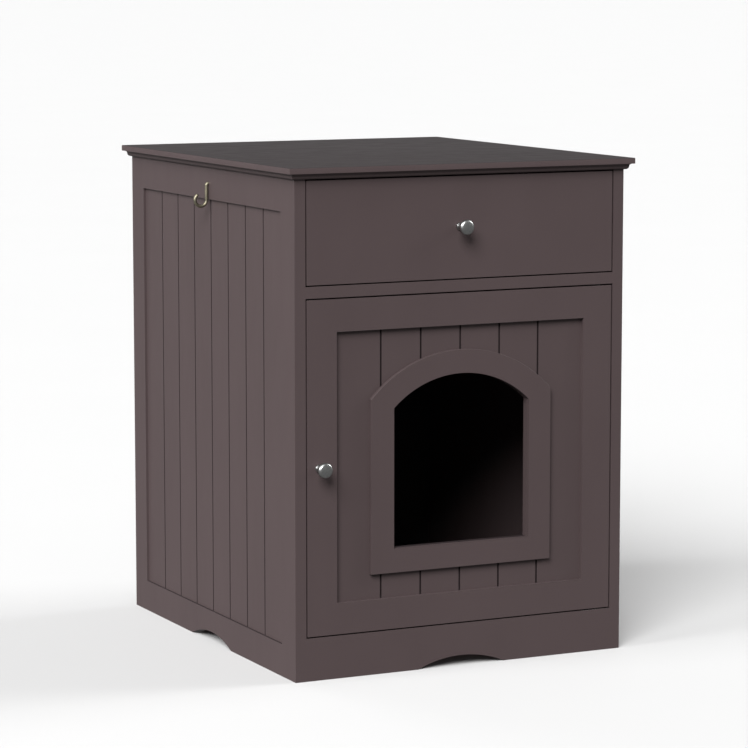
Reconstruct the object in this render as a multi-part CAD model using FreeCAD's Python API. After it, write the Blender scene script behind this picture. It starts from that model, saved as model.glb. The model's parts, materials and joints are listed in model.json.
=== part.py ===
import FreeCAD, Part
import math
import os

Vec = FreeCAD.Vector

# All sizes are in millimetres. The model is drawn about the cabinet's own lines: x = 0 midway
# between the side panels, y = 0 at the front faces, z = 0 on the floor. The front faces -y.

# Carcass
body_width = 500.0
body_depth = 576.4
body_height = 674.0  # floor to the underside of the top
panel_thickness = 16.0
front_thickness = 16.0  # door and drawer front
reveal_gap = 1.8  # gap all round the door and the drawer front
drawer_front_height = 138.5
bottom_z = 42.6  # underside of the bottom panel
back_thickness = 3.0
back_inset = 12.0  # rear edge of the side panels to the back panel
back_groove_depth = 5.0
groove_clearance = 0.2  # each side of a thin panel in its groove
rear_rail_height = 60.0

# Top panel and its moulded edge
top_thickness = 16.0
top_overhang = 11.5
fascia_height = 8.0
fascia_ease = 0.8  # radius on the upper edge
edge_ledge = 1.2
cove_radius = 3.9

# Panelled sides
side_frame_width = 44.5
side_recess = 3.5
side_groove_count = 7
side_groove_pitch = 60.0
groove_width = 2.6
groove_depth = 3.2

# Arched feet
front_arch_width = 132.0
side_arch_width = 139.0
arch_rise = 14.0

# Door frame, boarded field and arched surround
door_stile_width = 43.8
door_top_rail_height = 44.0
door_bottom_rail_height = 43.0
surround_thickness = 7.0
field_rebate = 8.0
field_clearance = 0.4
door_groove_count = 5
door_groove_pitch = 60.0
tenon_length = 14.0
tenon_thickness = 5.0
tenon_shoulder = 3.0
surround_width = 274.6
surround_margin_above = 33.2  # top rail to the surround's crown
surround_margin_below = 34.2
surround_rise = 60.8  # shoulders to crown
surround_jamb = 34.3  # width of the surround beside the doorway
surround_head = 32.5  # its height over the doorway's crown
surround_sill = 33.2
doorway_rise = 41.8

# Drawer box
drawer_side_thickness = 12.0
drawer_side_height = 100.0
drawer_length = 450.0
drawer_lift = 7.8  # divider shelf to the lower edge of the drawer sides
drawer_bottom_thickness = 3.0
drawer_bottom_lift = 8.0
drawer_groove_depth = 5.0
drawer_travel = 330.0

# Roller slides
slide_space = 12.5  # side panel to drawer side
sheet = 1.2
slide_front_gap = 2.0  # drawer front to the cabinet member
slide_nose_gap = 4.0  # cabinet roller's rim to the channel's cut-back floor and roof
roller_radius = 10.0
roller_width = 7.0
roller_rim = 2.6
roller_dish = 1.2  # depth of the ring between rim and boss
roller_ease = 0.6
roller_boss_margin = 0.4  # boss beyond the axle's head
roller_side_gap = 0.5
roller_drop = 0.5  # drawer rollers sit this much below the cabinet rollers
roller_rise = 13.0  # lower edge of the drawer side to the cabinet roller's axle
rolling_clearance = 0.3
lip_clearance = 0.8
lip_gap = 1.5  # channel lips to the drawer member's web
track_gap = 1.25  # drawer member's track to the channel's web
axle_radius = 2.0
axle_head_radius = 3.6
axle_head_height = 0.6
axle_end_play = 0.25
running_clearance = 0.05
cabinet_roller_inset = 12.0
drawer_roller_inset = 14.0
stop_height = 3.0
stop_length = 5.0
slide_screw_inset = 60.0
drawer_slide_screw_length = 7.0

# Pivot hinges in the ends of the right stile
pivot_setback = 18.0  # door edge to the pivot
pivot_depth = 6.5  # door face to the pivot
leaf_length = 24.0
leaf_width = 9.0
leaf_thickness = 2.5
leaf_clearance = 0.2
pin_radius = 2.0
pin_reach = 2.5  # pin end beyond the door leaf
washer_radius = 4.5
washer_gap = 0.3
leaf_screw_first = 9.5
leaf_screw_pitch = 9.0
pin_hole_clearance = 0.5

# Knobs
knob_reach = 25.0
knob_head_radius = 10.6
knob_head_depth = 8.5
knob_shoulder_radius = 9.1  # where the head leaves the neck
knob_widest = 3.1  # shoulder to the widest place of the head
knob_face_radius = 8.2
knob_crown = 1.2
knob_neck_radius = 3.8
knob_neck_place = 7.1  # door face to the narrowest place of the neck
knob_base_radius = 5.6
knob_base_height = 2.0
knob_rise = 1.2  # above the middle of the door and of the drawer front
door_knob_inset = 17.3  # from the door's free edge
drawer_knob_offset = -4.5  # from the cabinet's middle
knob_screw_radius = 2.0
knob_screw_head_radius = 4.2
knob_screw_head_height = 2.4
knob_screw_bite = 12.0
screw_hole_clearance = 0.25

# Scoop hook on the left side
hook_wire_radius = 2.4
hook_gap = 0.6  # panel face to the wire
hook_curl_radius = 8.6
hook_shank_length = 23.0
hook_bite = 10.0
hook_sweep = 228.0

# Magnetic catch
catch_width = 26.0
catch_lug = 8.0
catch_lug_height = 3.0
catch_height = 12.5
catch_depth = 13.0
catch_corner_radius = 1.5
pole_thickness = 1.5
pole_reach = 1.0
pole_inset = 3.0
strike_width = 36.0
strike_height = 11.0
strike_thickness = 1.1
strike_corner_radius = 2.2
strike_gap = 0.3

# Knock-down fittings
cam_radius = 7.5
cam_setback = 24.0
cam_depth = 12.0
drawer_cam_depth = 9.5
cam_clearance = 0.1
cam_screw_radius = 2.5
cam_shank_radius = 3.0
cam_shank_hole_radius = 3.6
cam_neck_radius = 1.8
cam_neck_length = 4.5
cam_head_radius = 3.2
cam_head_length = 3.0
cam_cross_length = 7.5
cam_cross_width = 1.1
cam_bite = 8.0
drill_clearance = 0.05
blind_clearance = 0.6
dowel_radius = 4.0
dowel_bite = 8.0
dowel_length = 28.0

# Wood screws
screw_radius = 1.6
screw_head_radius = 3.4
screw_head_height = 1.6
pan_head_edge = 0.4  # share of a pan head's height that is its straight edge
slide_screw_length = 10.0
leaf_screw_length = 14.0
leaf_screw_radius = 1.5
leaf_screw_head_radius = 2.9
box_screw_length = 30.0
catch_screw_length = 11.0
strike_screw_length = 10.0

# Places worked out from the sizes above
half_width = body_width / 2
inner_half = half_width - panel_thickness
door_half = inner_half - reveal_gap
back_front_y = body_depth - back_inset - back_thickness
bottom_top_z = bottom_z + panel_thickness
drawer_front_top_z = body_height - reveal_gap
drawer_front_z = drawer_front_top_z - drawer_front_height
divider_top_z = drawer_front_z - reveal_gap
divider_z = divider_top_z - panel_thickness
door_z = bottom_top_z + reveal_gap
door_top_z = divider_z - reveal_gap
field_half = door_half - door_stile_width
field_z = door_z + door_bottom_rail_height
field_top_z = door_top_z - door_top_rail_height
surround_z = field_z + surround_margin_below
surround_crown_z = field_top_z - surround_margin_above
doorway_width = surround_width - 2 * surround_jamb
doorway_z = surround_z + surround_sill
doorway_crown_z = surround_crown_z - surround_head
drawer_side_out = inner_half - slide_space
drawer_side_in = drawer_side_out - drawer_side_thickness
drawer_side_z = divider_top_z + drawer_lift
drawer_side_top_z = drawer_side_z + drawer_side_height
drawer_middle_z = drawer_side_z + drawer_side_height / 2
drawer_upper_z = drawer_side_top_z - drawer_side_height / 8
drawer_rear_y = front_thickness + drawer_length
drawer_bottom_z = drawer_side_z + drawer_bottom_lift
drawer_floor_z = drawer_bottom_z + drawer_bottom_thickness
pivot_x = door_half - pivot_setback
pivot_y = pivot_depth
door_knob_x = -door_half + door_knob_inset
door_knob_z = (door_z + door_top_z) / 2 + knob_rise
drawer_knob_z = (drawer_front_z + drawer_front_top_z) / 2 + knob_rise
bead_radius = top_thickness - fascia_height - cove_radius
first_side_groove_y = (body_depth - (side_groove_count - 1) * side_groove_pitch) / 2
board_half = (first_side_groove_y - side_frame_width) / 2
front_fitting_y = side_frame_width + board_half
rear_fitting_y = body_depth - front_fitting_y
front_dowel_y = first_side_groove_y + side_groove_pitch * 1.5
rear_dowel_y = body_depth - front_dowel_y
panel_half = panel_thickness / 2
rear_board_y = back_front_y - panel_half
rear_rail_z = body_height - rear_rail_height / 2
cut_over = 1.0  # how far a cutter runs past a face
sin_45 = math.sqrt(0.5)

LEFT = Vec(-1, 0, 0)
RIGHT = Vec(1, 0, 0)
FRONT = Vec(0, -1, 0)
REAR = Vec(0, 1, 0)
DOWN = Vec(0, 0, -1)
UP = Vec(0, 0, 1)


def box(x0, x1, y0, y1, z0, z1):
    return Part.makeBox(x1 - x0, y1 - y0, z1 - z0, Vec(x0, y0, z0))


def rod(start, direction, radius, length):
    return Part.makeCylinder(radius, length, start, direction)


def mirrored(shape):
    return shape.mirror(Vec(0, 0, 0), Vec(1, 0, 0))


def both_sides(shape):
    return [shape, mirrored(shape)]


def fused(shapes):
    return shapes[0].multiFuse(shapes[1:]).removeSplitter()


def outline(start, steps, place):
    """Closed face from lines, each an end point, and arcs, each a middle and an end point."""
    edges = []
    here = start
    for step in steps + [start]:
        if isinstance(step[0], tuple):
            middle, end = step
            edges.append(Part.Arc(place(*here), place(*middle), place(*end)).toShape())
        else:
            end = step
            edges.append(Part.LineSegment(place(*here), place(*end)).toShape())
        here = end
    return Part.Face(Part.Wire(edges))


def turned(points, base, axis):
    """Solid of revolution from (distance along the axis, radius) points and arcs."""
    normal = Vec(0, 0, 1) if abs(axis.z) < 0.5 else Vec(1, 0, 0)
    face = outline(points[0], points[1:], lambda along, radius: base + axis * along + normal * radius)
    return face.revolve(base, axis, 360)


def cap_middle(rim_along, rim_radius, crown_along):
    """Middle of a spherical cap's arc, from its rim to its crown on the axis."""
    height = crown_along - rim_along
    ball = (rim_radius ** 2 + height ** 2) / (2 * abs(height))
    half_angle = math.asin(rim_radius / ball) / 2
    sign = math.copysign(1, height)
    return crown_along - sign * ball * (1 - math.cos(half_angle)), ball * math.sin(half_angle)


def countersunk_screw(mouth, direction, length, radius, head_radius):
    """Screw whose flat head lies flush at the mouth and points along the direction."""
    flank = head_radius - radius
    profile = [(0, 0), (0, head_radius), (flank, radius), (length - radius, radius), (length, 0)]
    return turned(profile, mouth, direction)


def countersunk_hole(mouth, direction, length, radius, head_radius):
    flank = head_radius - radius
    sink = turned([(0, 0), (0, head_radius), (flank, radius), (flank, 0)], mouth, direction)
    return fused([rod(mouth, direction, radius, length), sink])


def pan_screw(seat, direction, length, radius, head_radius, head_height):
    """Screw whose domed head stands on the seat, against the direction it is driven in."""
    edge = -head_height * pan_head_edge
    dome = (cap_middle(edge, head_radius, -head_height), (edge, head_radius))
    shank = [(0, radius), (length - radius, radius), (length, 0)]
    return turned([(-head_height, 0), dome, (0, head_radius)] + shank, seat, direction)


# Knock-down fittings. Each joint is a point on the plane where two panels meet, at the middle
# of the panel that holds the cam, the direction into the panel that holds the bolt's screw,
# and the direction to the face that the cam is bored from.
class CamFitting:
    def __init__(self, joint, into, face, half_thickness, depth):
        self.joint = joint
        self.into = into
        self.face = face
        self.mouth = joint - into * cam_setback + face * half_thickness
        self.depth = depth

    def bolt(self):
        head_end = -cam_setback - cam_head_length / 2
        head_start = head_end + cam_head_length
        neck_start = head_start + cam_neck_length
        head = [(head_end, 0), (head_end, cam_head_radius), (head_start, cam_head_radius)]
        neck = [(head_start, cam_neck_radius), (neck_start, cam_neck_radius)]
        shank = [(neck_start, cam_shank_radius), (0, cam_shank_radius)]
        screw = [(0, cam_screw_radius), (cam_bite, cam_screw_radius), (cam_bite, 0)]
        return turned(head + neck + shank + screw, self.joint, self.into)

    def cam(self):
        """Round cam with a slot for the bolt's neck, a chamber for its head and a cross in its face."""
        body = rod(self.mouth, self.face * -1, cam_radius - cam_clearance, self.depth)
        reach = cam_radius + cut_over
        room = cam_clearance * 2
        centre = self.joint - self.into * cam_setback
        head_half = cam_head_length / 2
        chamber_start = centre - self.into * (head_half + room)
        shank_start = centre + self.into * (head_half + cam_neck_length - room)
        chamber = rod(chamber_start, self.into, cam_head_radius + room, cam_head_length + room * 2)
        neck = rod(centre, self.into, cam_neck_radius + room, reach)
        shank_room = rod(shank_start, self.into, cam_shank_radius + room, reach)
        side = self.face.cross(self.into)
        width = cam_cross_width
        bars = []
        for along, across in ((self.into, side), (side, self.into)):
            corner = self.mouth - along * (cam_cross_length / 2) - across * (width / 2) - self.face * width
            up = self.face * (width + cut_over)
            bars.append(slab(corner, along * cam_cross_length, across * width, up))
        return body.cut(fused([chamber, neck, shank_room])).cut(fused(bars))

    def cam_panel_cut(self):
        bore_depth = self.depth + cut_over + blind_clearance
        bore = rod(self.mouth + self.face * cut_over, self.face * -1, cam_radius, bore_depth)
        centre = self.joint - self.into * cam_setback
        channel = rod(centre, self.into, cam_shank_hole_radius, cam_setback + cut_over)
        return fused([bore, channel])

    def screw_panel_cut(self):
        start = self.joint - self.into * cut_over
        depth = cam_bite + blind_clearance + cut_over
        return rod(start, self.into, cam_screw_radius + drill_clearance, depth)


def slab(corner, along, across, up):
    """Box from a corner along three square edges."""
    base = Part.makePolygon([corner, corner + along, corner + along + across, corner + across, corner])
    return Part.Face(base).extrude(up)


class Dowel:
    def __init__(self, joint, into):
        self.joint = joint
        self.into = into

    def peg(self):
        back = dowel_length - dowel_bite
        return rod(self.joint - self.into * back, self.into, dowel_radius, dowel_length)

    def holding_cut(self):
        back = dowel_length - dowel_bite + blind_clearance
        return rod(self.joint - self.into * back, self.into, dowel_radius + drill_clearance, back + cut_over)

    def entered_cut(self):
        start = self.joint - self.into * cut_over
        depth = dowel_bite + blind_clearance + cut_over
        return rod(start, self.into, dowel_radius + drill_clearance, depth)


def panel_cam(x, y, z, into, face):
    return CamFitting(Vec(x, y, z), into, face, panel_half, cam_depth)


cam_ys = (front_fitting_y, rear_fitting_y)
dowel_ys = (front_dowel_y, rear_dowel_y)
shelf_cams = [panel_cam(-inner_half, y, divider_z + panel_half, LEFT, DOWN) for y in cam_ys]
floor_cams = [panel_cam(-inner_half, y, bottom_z + panel_half, LEFT, DOWN) for y in cam_ys]
top_cams = [panel_cam(-half_width + panel_half, y, body_height, UP, RIGHT) for y in cam_ys]
front_plinth_cams = [panel_cam(-inner_half, panel_half, bottom_z / 2, LEFT, REAR)]
rear_plinth_cams = [panel_cam(-inner_half, rear_board_y, bottom_z / 2, LEFT, FRONT)]
rear_rail_cams = [panel_cam(-inner_half, rear_board_y, rear_rail_z, LEFT, FRONT)]
side_screw_cams = shelf_cams + floor_cams + front_plinth_cams + rear_plinth_cams + rear_rail_cams
all_cams = side_screw_cams + top_cams

shelf_dowels = [Dowel(Vec(-inner_half, y, divider_z + panel_half), LEFT) for y in dowel_ys]
floor_dowels = [Dowel(Vec(-inner_half, y, bottom_z + panel_half), LEFT) for y in dowel_ys]
top_dowels = [Dowel(Vec(-half_width + panel_half, y, body_height), UP) for y in dowel_ys]


def drawer_cam(z):
    half = drawer_side_thickness / 2
    joint = Vec(-drawer_side_in - half, front_thickness, z)
    return CamFitting(joint, FRONT, RIGHT, half, drawer_cam_depth)


drawer_cams = [drawer_cam(z) for z in (drawer_middle_z, drawer_upper_z)]


def arch_cut(width, axis_start, axis, length):
    """Shallow arch cut into a lower edge, as a long cylinder below the floor."""
    radius = (width * width / 4 + arch_rise * arch_rise) / (2 * arch_rise)
    return rod(axis_start + Vec(0, 0, arch_rise - radius), axis, radius, length)


def groove_cut(x, y, inward, z0, z1):
    """Upright square groove in a face that looks against the inward direction."""
    across = Vec(-inward.y, inward.x, 0) * (groove_width / 2)
    rim = Vec(x, y, z0) - inward * cut_over
    floor = Vec(x, y, z0) + inward * groove_depth
    points = [rim - across, rim + across, floor + across, floor - across]
    return Part.Face(Part.makePolygon(points + [points[0]])).extrude(UP * (z1 - z0))


def moulded_section(low, high, place):
    """Section of the top between two edges: a square fascia over a cove and a bead."""
    top_z = body_height + top_thickness
    fascia_z = top_z - fascia_height
    cove_z = fascia_z - cove_radius
    ease_mid = fascia_ease * (1 - sin_45)
    cove_mid = cove_radius * sin_45
    bead_mid = bead_radius * (1 - sin_45)

    def edge(rim, inward):
        """The moulded edge from the face down to the underside, as steps for an outline."""
        cove_rim = rim + inward * edge_ledge
        cove_end = cove_rim + inward * cove_radius
        bead_end = cove_end + inward * bead_radius
        return [((rim + inward * ease_mid, top_z - ease_mid), (rim, top_z - fascia_ease)),
                (rim, fascia_z),
                (cove_rim, fascia_z),
                ((cove_rim + inward * cove_mid, cove_z + cove_mid), (cove_end, cove_z)),
                ((cove_end + inward * bead_mid, body_height + bead_mid), (bead_end, body_height))]

    def backwards(start, steps):
        """The same steps from their last point to the start."""
        ends = [start] + [step[1] if isinstance(step[0], tuple) else step for step in steps]
        turned_round = []
        for step, end in zip(reversed(steps), reversed(ends[:-1])):
            turned_round.append((step[0], end) if isinstance(step[0], tuple) else end)
        return [ends[-1]] + turned_round

    start = (high - fascia_ease, top_z)
    finish = (low + fascia_ease, top_z)
    return outline(start, edge(high, -1) + backwards(finish, edge(low, 1)), place)


def top_panel():
    """Flat top, moulded the same on all four edges."""
    reach_x = half_width + top_overhang
    front_y = -top_overhang
    rear_y = body_depth + top_overhang
    across = moulded_section(-reach_x, reach_x, lambda w, z: Vec(w, front_y, z))
    fore_and_aft = moulded_section(front_y, rear_y, lambda w, z: Vec(-reach_x, w, z))
    blank = across.extrude(REAR * (rear_y - front_y)).common(fore_and_aft.extrude(RIGHT * (2 * reach_x)))
    cuts = []
    for cam in top_cams:
        cuts += both_sides(cam.screw_panel_cut())
    for dowel in top_dowels:
        cuts += both_sides(dowel.entered_cut())
    return blank.cut(cuts)


def side_panel():
    """Left board with a recessed, grooved field, an arched foot and a groove for the back."""
    x_out = -half_width
    field_x = x_out + side_recess
    field_top = body_height - side_frame_width
    blank = box(x_out, -inner_half, 0, body_depth, 0, body_height)
    recess = box(x_out - cut_over, field_x, side_frame_width, body_depth - side_frame_width,
                 side_frame_width, field_top)
    foot_start = Vec(x_out - cut_over, body_depth / 2, 0)
    foot = arch_cut(side_arch_width, foot_start, RIGHT, panel_thickness + 2 * cut_over)
    back_groove = box(-inner_half - back_groove_depth, -inner_half + cut_over,
                      back_front_y - groove_clearance, back_front_y + back_thickness + groove_clearance,
                      bottom_z, body_height + cut_over)
    cuts = [recess, foot, back_groove]
    for index in range(side_groove_count):
        y = first_side_groove_y + index * side_groove_pitch
        cuts.append(groove_cut(field_x, y, RIGHT, side_frame_width, field_top))
    cuts += [cam.screw_panel_cut() for cam in side_screw_cams]
    cuts += [cam.cam_panel_cut() for cam in top_cams]
    cuts += [dowel.entered_cut() for dowel in shelf_dowels + floor_dowels]
    cuts += [dowel.holding_cut() for dowel in top_dowels]
    cuts += cabinet_slide_screw_cuts()
    return blank.cut(cuts)


def hook_hole():
    start = Vec(-half_width - cut_over, hook_y, hook_z)
    depth = hook_bite + cut_over + blind_clearance
    return rod(start, RIGHT, hook_wire_radius + drill_clearance, depth)


def board_between_sides(y0, y1, z0, z1, cams, dowels):
    blank = box(-inner_half, inner_half, y0, y1, z0, z1)
    cuts = []
    for cam in cams:
        cuts += both_sides(cam.cam_panel_cut())
    for dowel in dowels:
        cuts += both_sides(dowel.holding_cut())
    return blank.cut(cuts)


def bottom_panel():
    front_y = panel_thickness
    return board_between_sides(front_y, back_front_y, bottom_z, bottom_top_z, floor_cams, floor_dowels)


def divider_shelf():
    blank = board_between_sides(0, back_front_y, divider_z, divider_top_z, shelf_cams, shelf_dowels)
    depth = catch_screw_length - catch_lug_height + blind_clearance + cut_over
    cuts = [leaf_mortise(divider_z, UP)] + leaf_screw_cuts(divider_z, UP)
    for x, y in catch_screw_places:
        cuts.append(rod(Vec(x, y, divider_z - cut_over), UP, screw_radius + drill_clearance, depth))
    return blank.cut(cuts)


def front_plinth():
    blank = board_between_sides(0, panel_thickness, 0, bottom_top_z, front_plinth_cams, [])
    foot = arch_cut(front_arch_width, Vec(0, -cut_over, 0), REAR, panel_thickness + 2 * cut_over)
    return blank.cut([foot, leaf_mortise(bottom_top_z, DOWN)] + leaf_screw_cuts(bottom_top_z, DOWN))


def rear_plinth():
    front_y = back_front_y - panel_thickness
    return board_between_sides(front_y, back_front_y, 0, bottom_z, rear_plinth_cams, [])


def rear_top_rail():
    front_y = back_front_y - panel_thickness
    z0 = body_height - rear_rail_height
    return board_between_sides(front_y, back_front_y, z0, body_height, rear_rail_cams, [])


def back_panel():
    reach = inner_half + back_groove_depth - groove_clearance
    return box(-reach, reach, back_front_y, back_front_y + back_thickness, bottom_z + groove_clearance,
               body_height - groove_clearance)


# Pivot hinges: two flat leaves in shallow mortises and an upright pin riveted to the fixed leaf.
def leaf_outline(z, grow):
    """Leaf with a square end and a round end about the pivot."""
    half = leaf_width / 2 + grow
    left = pivot_x - leaf_length - grow
    round_end = ((pivot_x + half, pivot_y), (pivot_x, pivot_y + half))
    steps = [(pivot_x, pivot_y - half), round_end, (left, pivot_y + half)]
    return outline((left, pivot_y - half), steps, lambda x, y: Vec(x, y, z))


def leaf_mortise(z, into):
    start = z - into.z * cut_over
    return leaf_outline(start, leaf_clearance).extrude(into * (leaf_thickness + cut_over))


leaf_screw_xs = [pivot_x - leaf_screw_first - index * leaf_screw_pitch for index in range(2)]


def leaf_screw_cuts(z, into):
    radius = leaf_screw_radius + drill_clearance
    depth = leaf_screw_length + blind_clearance
    return [rod(Vec(x, pivot_y, z), into, radius, depth) for x in leaf_screw_xs]


def leaf_screws(z, into):
    sizes = (leaf_screw_length, leaf_screw_radius, leaf_screw_head_radius)
    return [countersunk_screw(Vec(x, pivot_y, z), into, *sizes) for x in leaf_screw_xs]


def plain_leaf(z, into):
    plate = leaf_outline(z, 0).extrude(into * leaf_thickness)
    radius = leaf_screw_radius + drill_clearance
    sizes = (leaf_thickness + cut_over, radius, leaf_screw_head_radius + drill_clearance)
    return plate.cut([countersunk_hole(Vec(x, pivot_y, z), into, *sizes) for x in leaf_screw_xs])


pin_length = leaf_thickness + reveal_gap + leaf_thickness + pin_reach


def frame_leaf(z, into):
    """Fixed leaf, let into the cabinet, with its pin standing towards the door."""
    pin = rod(Vec(pivot_x, pivot_y, z + into.z * leaf_thickness), into * -1, pin_radius, pin_length)
    return fused([plain_leaf(z, into), pin])


def door_leaf(z, into):
    start = Vec(pivot_x, pivot_y, z - into.z * cut_over)
    bore = rod(start, into, pin_radius + running_clearance, leaf_thickness + 2 * cut_over)
    return plain_leaf(z, into).cut(bore)


def hinge_washer(z, away):
    """Washer on the fixed leaf, filling the gap but for a running gap."""
    height = reveal_gap - washer_gap
    start = Vec(pivot_x, pivot_y, z)
    bore = rod(start, away, pin_radius + running_clearance, height)
    return rod(start, away, washer_radius, height).cut(bore)


def hinge_washers():
    return Part.makeCompound([hinge_washer(divider_z, DOWN), hinge_washer(bottom_top_z, UP)])


# Door
def arched_face(width, bottom, crown, rise, y):
    """Upright face with a segmental head that meets the sides at a corner."""
    half = width / 2
    shoulder = crown - rise
    steps = [(half, bottom), (half, shoulder), ((0, crown), (-half, shoulder))]
    return outline((-half, bottom), steps, lambda x, z: Vec(x, y, z))


def doorway_cut(y0, y1):
    return arched_face(doorway_width, doorway_z, doorway_crown_z, doorway_rise, y0).extrude(REAR * (y1 - y0))


def door_field_panel():
    """Grooved board that drops into the frame's rebate from behind, with the doorway cut out."""
    reach = field_rebate - field_clearance
    x = field_half + reach
    z0 = field_z - reach
    z1 = field_top_z + reach
    blank = box(-x, x, surround_thickness, front_thickness, z0, z1)
    cuts = [doorway_cut(surround_thickness - cut_over, front_thickness + cut_over)]
    for index in range(door_groove_count):
        groove_x = (index - (door_groove_count - 1) / 2) * door_groove_pitch
        cuts.append(groove_cut(groove_x, surround_thickness, REAR, z0 - cut_over, z1 + cut_over))
    return blank.cut(cuts)


def arch_surround():
    face = arched_face(surround_width, surround_z, surround_crown_z, surround_rise, 0)
    plate = face.extrude(REAR * surround_thickness)
    return plate.cut(doorway_cut(-cut_over, surround_thickness + cut_over))


def tenon_span(rail_outer_z, field_edge_z):
    """Lower and upper edge of the tenon on a rail between its outer edge and the field."""
    up = 1 if rail_outer_z > field_edge_z else -1
    near = field_edge_z + up * (field_rebate + tenon_shoulder)
    far = rail_outer_z - up * (leaf_screw_length + tenon_shoulder)
    return min(near, far), max(near, far)


tenon_y = (front_thickness - tenon_thickness) / 2


def mortise(span):
    grow = drill_clearance
    deep_x = -field_half - tenon_length - blind_clearance
    return box(deep_x, -field_half + cut_over, tenon_y - grow, tenon_y + tenon_thickness + grow,
               span[0] - grow, span[1] + grow)


def door_stile():
    """Left stile: full height, rebated behind for the field and mortised for both rails."""
    blank = box(-door_half, -field_half, 0, front_thickness, door_z, door_top_z)
    rebate = box(-field_half - field_rebate, -field_half + cut_over,
                 surround_thickness, front_thickness + cut_over,
                 field_z - field_rebate, field_top_z + field_rebate)
    spans = (tenon_span(door_top_z, field_top_z), tenon_span(door_z, field_z))
    return blank.cut([rebate] + [mortise(span) for span in spans])


def door_left_stile():
    strike_hole = rod(Vec(catch_x, front_thickness + cut_over, catch_z), FRONT,
                      screw_radius + drill_clearance, strike_screw_length + blind_clearance + cut_over)
    return door_stile().cut([strike_hole, knob_hole(door_knob_x, door_knob_z)])


def door_right_stile():
    cuts = []
    for z, into in ((door_top_z, DOWN), (door_z, UP)):
        cuts.append(leaf_mortise(z, into))
        depth = leaf_thickness + pin_reach + blind_clearance
        cuts.append(rod(Vec(pivot_x, pivot_y, z), into, pin_radius + pin_hole_clearance, depth))
        cuts += leaf_screw_cuts(z, into)
    return mirrored(door_stile()).cut(cuts)


def door_rail(outer_z, field_edge_z):
    """Rail rebated behind for the field, with a tenon at each end."""
    up = 1 if outer_z > field_edge_z else -1
    rail_z = sorted((outer_z, field_edge_z))
    rebate_z = sorted((field_edge_z - up * cut_over, field_edge_z + up * field_rebate))
    blank = box(-field_half, field_half, 0, front_thickness, rail_z[0], rail_z[1])
    rebate_x = field_half + cut_over
    rear_y = front_thickness + cut_over
    rebate = box(-rebate_x, rebate_x, surround_thickness, rear_y, rebate_z[0], rebate_z[1])
    low, high = tenon_span(outer_z, field_edge_z)
    tenon_x = field_half + tenon_length
    tenons = box(-tenon_x, tenon_x, tenon_y, tenon_y + tenon_thickness, low, high)
    return fused([blank.cut(rebate), tenons])


# Knobs
def knob(x, z):
    """Turned mushroom knob with a waisted neck, a rounded rim and a slightly domed face."""
    shoulder_y = knob_reach - knob_head_depth
    face_y = knob_reach - knob_crown
    bite = knob_screw_bite + blind_clearance
    neck = ((knob_neck_place, knob_neck_radius), (shoulder_y, knob_shoulder_radius))
    rim = ((shoulder_y + knob_widest, knob_head_radius), (face_y, knob_face_radius))
    face = (cap_middle(face_y, knob_face_radius, knob_reach), (knob_reach, 0))
    base = [(0, knob_screw_radius), (0, knob_base_radius), (knob_base_height, knob_base_radius)]
    return turned(base + [neck, rim, face, (bite, 0), (bite, knob_screw_radius)], Vec(x, 0, z), FRONT)


def knob_hole(x, z):
    radius = knob_screw_radius + screw_hole_clearance
    return rod(Vec(x, -cut_over, z), REAR, radius, front_thickness + 2 * cut_over)


def knob_screw(x, z):
    length = front_thickness + knob_screw_bite
    return pan_screw(Vec(x, front_thickness, z), FRONT, length, knob_screw_radius, knob_screw_head_radius,
                     knob_screw_head_height)


# Drawer box
def bottom_groove(x0, x1, y0, y1):
    return box(x0, x1, y0, y1, drawer_bottom_z - groove_clearance, drawer_floor_z + groove_clearance)


def drawer_front():
    """Plain slab, grooved behind for the drawer's bottom and drilled for its bolts and knob."""
    blank = box(-door_half, door_half, 0, front_thickness, drawer_front_z, drawer_front_top_z)
    reach = drawer_side_in + drawer_groove_depth
    cuts = [bottom_groove(-reach, reach, front_thickness - drawer_groove_depth, front_thickness + cut_over),
            knob_hole(drawer_knob_offset, drawer_knob_z)]
    for cam in drawer_cams:
        cuts += both_sides(cam.screw_panel_cut())
    return blank.cut(cuts)


drawer_screw_y = drawer_rear_y - drawer_side_thickness / 2
drawer_screw_zs = (drawer_middle_z, drawer_upper_z)


def drawer_left_side():
    blank = box(-drawer_side_out, -drawer_side_in, front_thickness, drawer_rear_y,
                drawer_side_z, drawer_side_top_z)
    cuts = [bottom_groove(-drawer_side_in - drawer_groove_depth, -drawer_side_in + cut_over,
                          front_thickness - cut_over, drawer_rear_y + cut_over)]
    cuts += [cam.cam_panel_cut() for cam in drawer_cams]
    cuts += drawer_slide_screw_cuts()
    depth = drawer_side_thickness + cut_over
    sizes = (depth, screw_radius + drill_clearance, screw_head_radius + drill_clearance)
    for z in drawer_screw_zs:
        cuts.append(countersunk_hole(Vec(-drawer_side_out, drawer_screw_y, z), RIGHT, *sizes))
    return blank.cut(cuts)


def drawer_back():
    blank = box(-drawer_side_in, drawer_side_in, drawer_rear_y - drawer_side_thickness, drawer_rear_y,
                drawer_floor_z + groove_clearance, drawer_side_top_z)
    sizes = (screw_radius + drill_clearance, box_screw_length + blind_clearance)
    cuts = []
    for z in drawer_screw_zs:
        cuts += both_sides(rod(Vec(-drawer_side_out, drawer_screw_y, z), RIGHT, *sizes))
    return blank.cut(cuts)


def drawer_bottom():
    reach = drawer_side_in + drawer_groove_depth - field_clearance
    front_y = front_thickness - drawer_groove_depth + field_clearance
    return box(-reach, reach, front_y, drawer_rear_y, drawer_bottom_z, drawer_floor_z)


def drawer_box_screws():
    sizes = (box_screw_length, screw_radius, screw_head_radius)
    screws = []
    for z in drawer_screw_zs:
        screws += both_sides(countersunk_screw(Vec(-drawer_side_out, drawer_screw_y, z), RIGHT, *sizes))
    return Part.makeCompound(screws)


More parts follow.
